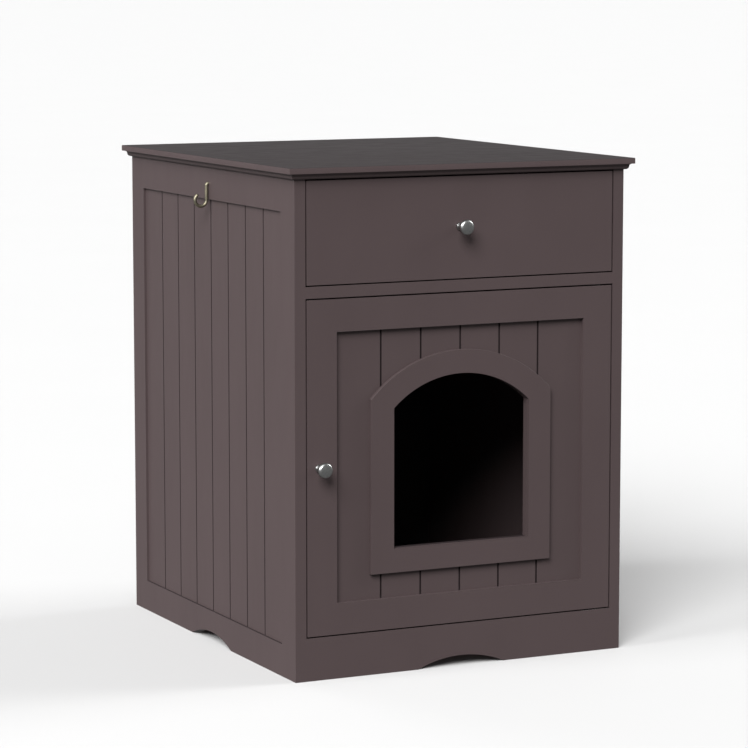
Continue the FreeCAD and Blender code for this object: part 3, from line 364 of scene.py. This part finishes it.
def make_materials():
    """One material for each slot of the record, and the paints that carry painted shade: on the top, the
    eased edges, the grooves and the inside of the back.
    """
    colours = finishes()
    rough = colours.paint_roughness
    return {
        "painted_board": painted("painted_board", colours.paint, rough),
        # Painted shade on the top: a darker colour and little sheen.
        "top_painted_shade": painted("top_painted_shade", colours.top_shade_colour, rough, sheen=0.05),
        "edge_painted_shade": painted("edge_painted_shade", colours.edge_shade_colour, rough - 0.04, 1.6),
        "groove_painted_shade": painted("groove_painted_shade", colours.groove_shade_colour, rough + 0.2, 1.6),
        "thin_board": hardboard("thin_board", colours.hardboard),
        "back_painted_shade": hardboard("back_painted_shade", colours.back_painted_shade),
        "drawer_board": painted("drawer_board", colours.drawer_board, rough + 0.08, 2.0),
        "cam_alloy": cast_alloy("cam_alloy", colours.cast),
        "zinc_steel": plated_steel("zinc_steel", colours.zinc),
        "slide_enamel": coated_steel("slide_enamel", colours.enamel),
        "nylon": moulded_nylon("nylon", colours.nylon),
        "dark_plastic": grained_plastic("dark_plastic", colours.plastic),
        "beech": bare_beech("beech", colours.beech),
        "knob_nickel": satin_nickel("knob_nickel", colours.nickel),
        "hook_brass": antique_brass("hook_brass", colours.brass),
    }


def material_for(slot):
    """The slot's material, which the first call makes together with all the others."""
    if "finish_" + slot not in bpy.data.materials:
        for name, material in make_materials().items():
            material.name = "finish_" + name
    return bpy.data.materials["finish_" + slot]


# Meshes
def new_piece(name, shape):
    """Object at the origin from a bmesh, which is freed."""
    mesh = bpy.data.meshes.new(name)
    shape.to_mesh(mesh)
    shape.free()
    if "custom_normal" in mesh.attributes:
        mesh.attributes.remove(mesh.attributes["custom_normal"])
    piece = bpy.data.objects.new(name, mesh)
    bpy.context.scene.collection.objects.link(piece)
    return piece


def merged_shape(node):
    """Bmesh of a CAD node with its loose triangles joined into whole faces."""
    shape = bmesh.new()
    shape.from_mesh(frame["nodes"][node].data)
    bmesh.ops.remove_doubles(shape, verts=shape.verts[:], dist=merge_distance)
    bmesh.ops.dissolve_limit(shape, angle_limit=flat_angle, verts=shape.verts[:], edges=shape.edges[:])
    return shape


def smooth_by_angle(mesh):
    mesh.shade_smooth()
    mesh.set_sharp_from_angle(angle=sharp_angle)


def hand_over(piece, node):
    """The piece stands for the CAD node, moves with its body and takes its material slot."""
    if not piece.data.materials:
        piece.data.materials.append(material_for(slot_of[node]))
    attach(piece, body_of[node])
    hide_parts(node)
    return piece


def in_plane(edge, plane):
    """Whether the edge lies in the plane, given as an axis and its value there."""
    axis, value = plane
    return all(abs(vertex.co[axis] - value) < plane_tolerance for vertex in edge.verts)


def dressed(node, ease, seams=(), finish=None, edges=None, grooves=None):
    """Piece with the CAD node's shape, its outer edges eased except where they lie in a seam's plane.

    The grooves are given as an axis and the two depths on it between which their faces have their middles.
    """
    shape = merged_shape(node)
    weights = shape.edges.layers.float.new("bevel_weight_edge")
    for edge in shape.edges:
        corner = edge.is_convex and edge.calc_face_angle(0.0) > eased_angle
        long_enough = edge.calc_length() > shortest_eased * ease
        if corner and long_enough and not any(in_plane(edge, seam) for seam in seams):
            edge[weights] = 1.0
    finishes_used = [finish or slot_of[node]]
    if edges:
        finishes_used.append(edges)
    # Faces inside the grooves take the darker groove paint: painted shade.
    if grooves:
        axis, low, high = grooves
        for face in shape.faces:
            if low < face.calc_center_median()[axis] < high:
                face.material_index = len(finishes_used)
                for edge in face.edges:
                    edge[weights] = 0.0
        finishes_used.append("groove_painted_shade")
    piece = new_piece(node + "_finished", shape)
    smooth_by_angle(piece.data)
    for name in finishes_used:
        piece.data.materials.append(material_for(name))
    bevel = piece.modifiers.new("ease", "BEVEL")
    bevel.limit_method = "WEIGHT"
    bevel.width = ease
    bevel.segments = bevel_segments
    bevel.use_clamp_overlap = False
    bevel.harden_normals = True
    # The bevel faces take the edge finish, which carries painted shade.
    if edges:
        bevel.material = 1
    return hand_over(piece, node)


def smoothed(node):
    """Piece with the CAD node's own shape and smooth curves."""
    piece = new_piece(node + "_finished", merged_shape(node))
    smooth_by_angle(piece.data)
    return hand_over(piece, node)


def arc(centre, radius, start_degrees, end_degrees, steps):
    """Points (across, up) along an arc, its ends included."""
    points = []
    for step in range(steps + 1):
        angle = math.radians(start_degrees + (end_degrees - start_degrees) * step / steps)
        points.append((centre[0] + radius * math.cos(angle), centre[1] + radius * math.sin(angle)))
    return points


def moulded_top():
    """Top whose square fascia, cove and bead run round all four edges with mitred corners."""
    sizes = settings()
    fascia_z = top_high.z - sizes.fascia_height
    cove_z = fascia_z - sizes.cove_radius
    cove_in = sizes.edge_ledge + sizes.cove_radius
    bead_radius = cove_z - top_low.z
    ease = sizes.fascia_ease
    profile = arc((ease, top_high.z - ease), ease, 90, 180, curve_steps // 2)
    profile += [(0.0, fascia_z), (sizes.edge_ledge, fascia_z)]
    profile += arc((sizes.edge_ledge, cove_z), sizes.cove_radius, 90, 0, curve_steps)
    profile += arc((cove_in + bead_radius, cove_z), bead_radius, 180, 270, curve_steps)[1:]
    shape = bmesh.new()
    rings = []
    for inset, z in profile:
        corners = [(top_low.x + inset, top_low.y + inset), (top_high.x - inset, top_low.y + inset),
                   (top_high.x - inset, top_high.y - inset), (top_low.x + inset, top_high.y - inset)]
        rings.append([shape.verts.new((x, y, z)) for x, y in corners])
    for upper, lower in zip(rings, rings[1:]):
        for index in range(4):
            after = (index + 1) % 4
            shape.faces.new([upper[index], lower[index], lower[after], upper[after]])
    shape.faces.new(rings[0])
    shape.faces.new(list(reversed(rings[-1])))
    bmesh.ops.recalc_face_normals(shape, faces=shape.faces[:])
    piece = new_piece("top_panel_finished", shape)
    piece.data.materials.append(material_for("painted_board"))
    piece.data.materials.append(material_for("top_painted_shade"))
    # Faces that look up, the top's eased edge among them, take the darker top paint: painted shade.
    for face in piece.data.polygons:
        if face.normal.z > facing_share:
            face.material_index = 1
    smooth_by_angle(piece.data)
    return hand_over(piece, "top_panel")


# Screws, grown by one tree from the places where the CAD has them
def screw_tree():
    """Geometry Nodes tree that sets a screw with a cross recess and a thread on each seat."""
    tree = bpy.data.node_groups.new("screws", "GeometryNodeTree")
    sockets = tree.interface
    sockets.new_socket("Screws", in_out="OUTPUT", socket_type="NodeSocketGeometry")
    sockets.new_socket("Seats", in_out="INPUT", socket_type="NodeSocketGeometry")
    for name in ("Length", "Shank Radius", "Face Radius", "Seat Radius", "Head Height", "Head Rise",
                 "Thread Pitch", "Thread Depth", "Recess Width", "Recess Length", "Recess Depth"):
        socket = sockets.new_socket(name, in_out="INPUT", socket_type="NodeSocketFloat")
        socket.subtype = "DISTANCE"
    sockets.new_socket("Finish", in_out="INPUT", socket_type="NodeSocketMaterial")
    given = add_node(tree, "NodeGroupInput").outputs

    def worked_out(operation, first, second):
        node = add_node(tree, "ShaderNodeMath", operation=operation)
        for socket, value in zip(node.inputs, (first, second)):
            if isinstance(value, bpy.types.NodeSocket):
                tree.links.new(value, socket)
            else:
                socket.default_value = value
        return node.outputs["Value"]

    def along(z):
        return add_node(tree, "ShaderNodeCombineXYZ", {"Z": z}).outputs["Vector"]

    def moved(geometry, z):
        node = add_node(tree, "GeometryNodeTransform", {"Geometry": geometry, "Translation": along(z)})
        return node.outputs["Geometry"]

    def frustum(low_radius, high_radius, depth, z):
        cone = add_node(tree, "GeometryNodeMeshCone", {
            "Vertices": head_steps, "Radius Bottom": low_radius, "Radius Top": high_radius, "Depth": depth})
        return moved(cone.outputs["Mesh"], z)

    def arm(width, length):
        size = add_node(tree, "ShaderNodeCombineXYZ", {
            "X": width, "Y": length, "Z": worked_out("MULTIPLY", given["Recess Depth"], 2.0)})
        cube = add_node(tree, "GeometryNodeMeshCube", {"Size": size.outputs["Vector"]})
        return moved(cube.outputs["Mesh"], minus_rise)

    def combined(operation, first, others):
        node = add_node(tree, "GeometryNodeMeshBoolean", operation=operation, solver="EXACT")
        if first is not None:
            tree.links.new(first, node.inputs["Mesh 1"])
        for other in others:
            tree.links.new(other, node.inputs["Mesh 2"])
        return node.outputs["Mesh"]

    minus_rise = worked_out("SUBTRACT", 0.0, given["Head Rise"])
    tip_start = worked_out("SUBTRACT", given["Length"], given["Shank Radius"])
    head = frustum(given["Face Radius"], given["Seat Radius"], given["Head Height"], minus_rise)
    shank = frustum(given["Shank Radius"], given["Shank Radius"], tip_start, 0.0)
    tip = frustum(given["Shank Radius"], 0.0, given["Shank Radius"], tip_start)
    solid = combined("UNION", None, [head, shank, tip])
    recess = [arm(given["Recess Width"], given["Recess Length"]),
              arm(given["Recess Length"], given["Recess Width"])]
    body = combined("DIFFERENCE", solid, recess)
    thread_start = worked_out("MAXIMUM", given["Seat Radius"], given["Thread Pitch"])
    thread_run = worked_out("SUBTRACT", tip_start, thread_start)
    turns = worked_out("DIVIDE", thread_run, given["Thread Pitch"])
    spiral = add_node(tree, "GeometryNodeCurveSpiral", {
        "Resolution": thread_steps, "Rotations": turns, "Start Radius": given["Shank Radius"],
        "End Radius": given["Shank Radius"], "Height": thread_run})
    ridge = add_node(tree, "GeometryNodeCurvePrimitiveCircle", {
        "Resolution": thread_corners, "Radius": given["Thread Depth"]})
    thread = add_node(tree, "GeometryNodeCurveToMesh", {
        "Curve": moved(spiral.outputs["Curve"], thread_start), "Profile Curve": ridge.outputs["Curve"],
        "Fill Caps": True})
    screw = add_node(tree, "GeometryNodeJoinGeometry")
    tree.links.new(body, screw.inputs["Geometry"])
    tree.links.new(thread.outputs["Mesh"], screw.inputs["Geometry"])
    driven = add_node(tree, "GeometryNodeInputNamedAttribute", {"Name": "driven"},
                      data_type="FLOAT_VECTOR")
    turn = add_node(tree, "FunctionNodeAlignRotationToVector", {"Vector": driven.outputs["Attribute"]},
                    axis="Z")
    placed = add_node(tree, "GeometryNodeInstanceOnPoints", {
        "Points": given["Seats"], "Instance": screw.outputs["Geometry"],
        "Rotation": turn.outputs["Rotation"]})
    real = add_node(tree, "GeometryNodeRealizeInstances", {"Geometry": placed.outputs["Instances"]})
    finished = add_node(tree, "GeometryNodeSetMaterial", {
        "Geometry": real.outputs["Geometry"], "Material": given["Finish"]})
    outlet = add_node(tree, "NodeGroupOutput")
    tree.links.new(finished.outputs["Geometry"], outlet.inputs["Screws"])
    return tree


def islands(shape):
    """Lists of vertices, one for each separate solid."""
    left = set(shape.verts)
    found = []
    while left:
        group = []
        waiting = [left.pop()]
        while waiting:
            vertex = waiting.pop()
            group.append(vertex.co.copy())
            for edge in vertex.link_edges:
                other = edge.other_vert(vertex)
                if other in left:
                    left.remove(other)
                    waiting.append(other)
        found.append(group)
    return found


def widest(points, centre, axis):
    """The largest distance of the points from the centre, measured across the axis."""
    return max(Vector([point[a] - centre[a] for a in range(3) if a != axis]).length for point in points)


def screw_places(node):
    """For each screw: the head's outer end, the way it is driven, its length and its two radii."""
    end_share, middle_share = 0.15, 0.5
    shape = merged_shape(node)
    places = []
    for points in islands(shape):
        low = Vector([min(point[axis] for point in points) for axis in range(3)])
        high = Vector([max(point[axis] for point in points) for axis in range(3)])
        size = high - low
        axis = max(range(3), key=lambda a: size[a])
        centre = (low + high) / 2
        near_low = [point for point in points if point[axis] - low[axis] < end_share * size[axis]]
        near_high = [point for point in points if high[axis] - point[axis] < end_share * size[axis]]
        at_low = widest(near_low, centre, axis)
        at_high = widest(near_high, centre, axis)
        head_end = low if at_low > at_high else high
        direction = Vector((0.0, 0.0, 0.0))
        direction[axis] = 1.0 if at_low > at_high else -1.0
        start = centre.copy()
        start[axis] = head_end[axis]
        beyond = [point for point in points if abs(point[axis] - start[axis]) > middle_share * size[axis]]
        shank = widest(beyond, centre, axis)
        places.append((start, direction, size[axis], max(at_low, at_high), shank))
    shape.free()
    return places


def screws(node, dome_height):
    """The node's screws with drives and threads; a dome height of nothing makes flat countersunk heads."""
    sizes = bpy.context.scene.litter_box_fasteners
    places = screw_places(node)
    seats = bmesh.new()
    for start, direction, _, _, _ in places:
        seats.verts.new(start + direction * dome_height)
    piece = new_piece(node + "_finished", seats)
    driven = piece.data.attributes.new("driven", "FLOAT_VECTOR", "POINT")
    for item, place in zip(driven.data, places):
        item.vector = place[1]
    length, head, shank = places[0][2:]
    values = {
        "Length": length - dome_height,
        "Shank Radius": shank,
        "Face Radius": head * sizes.face_share if dome_height else head,
        "Seat Radius": head if dome_height else shank,
        "Head Height": dome_height or head - shank,
        "Head Rise": dome_height,
        "Thread Pitch": sizes.thread_pitch,
        "Thread Depth": sizes.thread_depth,
        "Recess Width": sizes.recess_width,
        "Recess Length": head * sizes.recess_length,
        "Recess Depth": head * sizes.recess_depth,
        "Finish": material_for("zinc_steel"),
    }
    tree = bpy.data.node_groups.get("screws") or screw_tree()
    modifier = piece.modifiers.new("screws", "NODES")
    modifier.node_group = tree
    for socket in tree.interface.items_tree:
        if socket.in_out == "INPUT" and socket.name in values:
            modifier[socket.identifier] = values[socket.name]
    grown = bpy.data.meshes.new_from_object(piece.evaluated_get(bpy.context.evaluated_depsgraph_get()))
    piece.modifiers.remove(modifier)
    piece.data = grown
    smooth_by_angle(grown)
    return hand_over(piece, node)


# Operators, one for each piece or group of like pieces
class StageOperator(bpy.types.Operator):
    """Add the pale floor, the soft lights and the camera"""
    bl_idname = "litter_box.stage"
    bl_label = "Stage"

    def execute(self, context):
        sizes = context.scene.litter_box_stage
        self.add_floor(sizes)
        self.add_lights(context.scene, sizes)
        self.add_camera(context.scene, sizes)
        return {"FINISHED"}

    def add_floor(self, sizes):
        """Wide pale disc that throws no light back at the enclosure."""
        shape = bmesh.new()
        bmesh.ops.create_circle(shape, cap_ends=True, segments=floor_steps, radius=sizes.floor_radius)
        floor = new_piece("floor", shape)
        material, tree, shader, coordinates = start_surface("pale_floor", roughness=0.65)
        drift_colour(tree, shader, sizes.floor, noise(tree, coordinates, size=0.6, detail=2.0), spread=0.004)
        add_relief(tree, shader, noise(tree, coordinates, size=4 * MM, detail=2.0), depth=0.004 * MM)
        floor.data.materials.append(material)
        floor.visible_diffuse = False
        floor.visible_glossy = False

    def add_lights(self, scene, sizes):
        """Even light from the world, which the camera sees white, and four suns, the last without glare."""
        world = bpy.data.worlds.new("studio")
        world.use_nodes = True
        tree = world.node_tree
        looking = add_node(tree, "ShaderNodeTexCoord").outputs["Generated"]
        height = add_node(tree, "ShaderNodeSeparateXYZ", {"Vector": looking}).outputs["Z"]
        strength = add_node(tree, "ShaderNodeMapRange", {
            "Value": height, "From Min": horizon_height, "From Max": overhead_height,
            "To Min": sizes.horizon, "To Max": sizes.overhead})
        seen = add_node(tree, "ShaderNodeLightPath").outputs["Is Camera Ray"]
        shown = add_node(tree, "ShaderNodeMath", {0: seen, 1: strength.outputs["Result"]},
                         operation="MAXIMUM")
        tree.links.new(shown.outputs["Value"], tree.nodes["Background"].inputs["Strength"])
        tree.nodes["Background"].inputs["Color"].default_value = (1.0, 1.0, 1.0, 1.0)
        scene.world = world
        scene.view_settings.view_transform = "Standard"
        for name, direction, strength, spread in (
                ("key_light", sizes.key_direction, sizes.key_strength, sizes.key_spread),
                ("side_light", sizes.side_direction, sizes.side_strength, sizes.soft_spread),
                ("right_light", sizes.right_direction, sizes.right_strength, sizes.soft_spread),
                ("back_light", sizes.back_direction, sizes.back_strength, sizes.soft_spread)):
            light = bpy.data.lights.new(name, "SUN")
            light.energy = strength
            light.angle = spread
            lamp = bpy.data.objects.new(name, light)
            lamp.rotation_mode = "QUATERNION"
            lamp.rotation_quaternion = Vector(direction).to_track_quat("-Z", "Y")
            lamp.visible_glossy = name != "back_light"
            scene.collection.objects.link(lamp)

    def add_camera(self, scene, sizes):
        """Long lens in front of the left corner, aimed by its turn and its dip."""
        level = math.cos(sizes.camera_dip)
        forward = Vector((math.sin(sizes.camera_turn) * level, math.cos(sizes.camera_turn) * level,
                          -math.sin(sizes.camera_dip)))
        lens = bpy.data.cameras.new("camera")
        lens.lens = sizes.lens
        lens.sensor_width = sensor_width
        lens.clip_end = farthest_seen
        camera = bpy.data.objects.new("camera", lens)
        camera.location = sizes.camera_place
        camera.rotation_mode = "QUATERNION"
        camera.rotation_quaternion = forward.to_track_quat("-Z", "Y")
        scene.collection.objects.link(camera)
        scene.camera = camera


class CarcassOperator(bpy.types.Operator):
    """Finish the top, the sides and the boards between them"""
    bl_idname = "litter_box.carcass"
    bl_label = "Carcass"

    def execute(self, context):
        sizes = settings()
        moulded_top()
        seams = ((0, bottom_low.x), (0, bottom_high.x), (2, side_high.z))
        left = side_low.x + sizes.recess
        right = 2 * middle_x - left
        dressed("left_side_panel", sizes.ease, seams, edges="edge_painted_shade",
                grooves=(0, left + plane_tolerance, left + sizes.groove + plane_tolerance))
        dressed("right_side_panel", sizes.ease, seams, edges="edge_painted_shade",
                grooves=(0, right - sizes.groove - plane_tolerance, right - plane_tolerance))
        for node in ("bottom_panel", "divider_shelf", "front_plinth", "rear_plinth", "rear_top_rail"):
            dressed(node, sizes.ease, seams, edges="edge_painted_shade")
        # The back's inner face takes the near-black painted shade, and its outer face takes plain hardboard.
        back = dressed("back_panel", sizes.thin_ease, finish="back_painted_shade")
        back.data.materials.append(material_for("thin_board"))
        for face in back.data.polygons:
            if face.normal.y > facing_share:
                face.material_index = 1
        return {"FINISHED"}


class DoorOperator(bpy.types.Operator):
    """Finish the door's frame, its boarded field and the arched surround"""
    bl_idname = "litter_box.door"
    bl_label = "Door"

    def execute(self, context):
        sizes = settings()
        seams = ((0, stile_high.x), (0, 2 * middle_x - stile_high.x))
        for node in ("door_left_stile", "door_right_stile", "door_top_rail", "door_bottom_rail",
                     "arch_surround"):
            dressed(node, sizes.ease, seams, edges="edge_painted_shade")
        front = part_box("door_field_panel")[0].y
        dressed("door_field_panel", sizes.ease, seams, edges="edge_painted_shade",
                grooves=(1, front + plane_tolerance, front + sizes.groove + plane_tolerance))
        return {"FINISHED"}


class DrawerOperator(bpy.types.Operator):
    """Finish the drawer's front and its box"""
    bl_idname = "litter_box.drawer"
    bl_label = "Drawer"

    def execute(self, context):
        sizes = settings()
        dressed("drawer_front", sizes.ease, edges="edge_painted_shade")
        for node in ("drawer_left_side", "drawer_right_side", "drawer_back"):
            dressed(node, sizes.ease)
        dressed("drawer_bottom", sizes.thin_ease)
        return {"FINISHED"}


class KnobsOperator(bpy.types.Operator):
    """Finish both knobs in nickel brushed about their own axes"""
    bl_idname = "litter_box.knobs"
    bl_label = "Knobs"

    def execute(self, context):
        for node in ("door_knob", "drawer_knob"):
            piece = smoothed(node)
            low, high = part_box(node)
            axis = (low + high) / 2
            radius = piece.data.attributes.new("turning_radius", "FLOAT", "POINT")
            for vertex, item in zip(piece.data.vertices, radius.data):
                item.value = math.hypot(vertex.co.x - axis.x, vertex.co.z - axis.z)
        return {"FINISHED"}


class HookOperator(bpy.types.Operator):
    """Finish the bent wire hook for the scoop"""
    bl_idname = "litter_box.hook"
    bl_label = "Scoop hook"

    def execute(self, context):
        smoothed("scoop_hook")
        return {"FINISHED"}


class SlidesOperator(bpy.types.Operator):
    """Finish the roller slides and their rollers"""
    bl_idname = "litter_box.slides"
    bl_label = "Roller slides"

    def execute(self, context):
        for side in ("left", "right"):
            for owner in ("cabinet", "drawer"):
                dressed("%s_%s_slide" % (side, owner), settings().thin_ease)
                dressed("%s_%s_roller" % (side, owner), settings().thin_ease)
        return {"FINISHED"}


class HingesOperator(bpy.types.Operator):
    """Finish the pivot hinges and their washers"""
    bl_idname = "litter_box.hinges"
    bl_label = "Pivot hinges"

    def execute(self, context):
        for height in ("upper", "lower"):
            for leaf in ("frame", "door"):
                dressed("%s_hinge_%s_leaf" % (height, leaf), settings().thin_ease)
        dressed("hinge_washers", settings().thin_ease)
        return {"FINISHED"}


class CatchOperator(bpy.types.Operator):
    """Finish the magnetic catch and its strike plate"""
    bl_idname = "litter_box.catch"
    bl_label = "Magnetic catch"

    def execute(self, context):
        for node in ("magnetic_catch", "catch_pole_plates", "strike_plate"):
            dressed(node, settings().thin_ease)
        return {"FINISHED"}


class FittingsOperator(bpy.types.Operator):
    """Finish the cam locks, their bolts and the dowels"""
    bl_idname = "litter_box.fittings"
    bl_label = "Knock-down fittings"

    def execute(self, context):
        for node in ("cam_locks", "drawer_cam_locks", "cam_bolts", "drawer_cam_bolts", "wood_dowels"):
            dressed(node, settings().thin_ease)
        return {"FINISHED"}


class ScrewsOperator(bpy.types.Operator):
    """Set every screw with its drive and thread"""
    bl_idname = "litter_box.screws"
    bl_label = "Screws"

    def execute(self, context):
        sizes = context.scene.litter_box_fasteners
        for node in ("cabinet_slide_screws", "drawer_slide_screws", "catch_screws"):
            screws(node, sizes.pan_height)
        for node in ("drawer_box_screws", "hinge_frame_screws", "hinge_door_screws", "strike_screw"):
            screws(node, 0.0)
        for node in ("drawer_knob_screw", "door_knob_screw"):
            screws(node, sizes.knob_screw_height)
        return {"FINISHED"}


operators = (StageOperator, CarcassOperator, DoorOperator, DrawerOperator, KnobsOperator, HookOperator,
             SlidesOperator, HingesOperator, CatchOperator, FittingsOperator, ScrewsOperator)
groups = {"litter_box_boards": BoardSettings, "litter_box_finishes": FinishSettings,
          "litter_box_fasteners": FastenerSettings, "litter_box_stage": StageSettings}


class LitterBoxPanel(bpy.types.Panel):
    """Sizes, colours and steps of the litter box enclosure"""
    bl_idname = "VIEW3D_PT_litter_box"
    bl_label = "Litter box enclosure"
    bl_space_type = "VIEW_3D"
    bl_region_type = "UI"
    bl_category = "Litter box"

    def draw(self, context):
        for name, group in groups.items():
            box = self.layout.box()
            for key in group.__annotations__:
                box.prop(getattr(context.scene, name), key)
        for operator in operators:
            self.layout.operator(operator.bl_idname)


def register():
    for group in groups.values():
        bpy.utils.register_class(group)
    for name, group in groups.items():
        setattr(bpy.types.Scene, name, PointerProperty(type=group))
    for operator in operators:
        bpy.utils.register_class(operator)
    bpy.utils.register_class(LitterBoxPanel)


def unregister():
    bpy.utils.unregister_class(LitterBoxPanel)
    for operator in reversed(operators):
        bpy.utils.unregister_class(operator)
    for name in groups:
        delattr(bpy.types.Scene, name)
    for group in reversed(list(groups.values())):
        bpy.utils.unregister_class(group)


def main():
    register()
    bpy.ops.litter_box.stage()
    bpy.ops.litter_box.carcass()
    bpy.ops.litter_box.door()
    bpy.ops.litter_box.drawer()
    bpy.ops.litter_box.knobs()
    bpy.ops.litter_box.hook()
    bpy.ops.litter_box.slides()
    bpy.ops.litter_box.hinges()
    bpy.ops.litter_box.catch()
    bpy.ops.litter_box.fittings()
    bpy.ops.litter_box.screws()


if __name__ == "__main__":
    main()
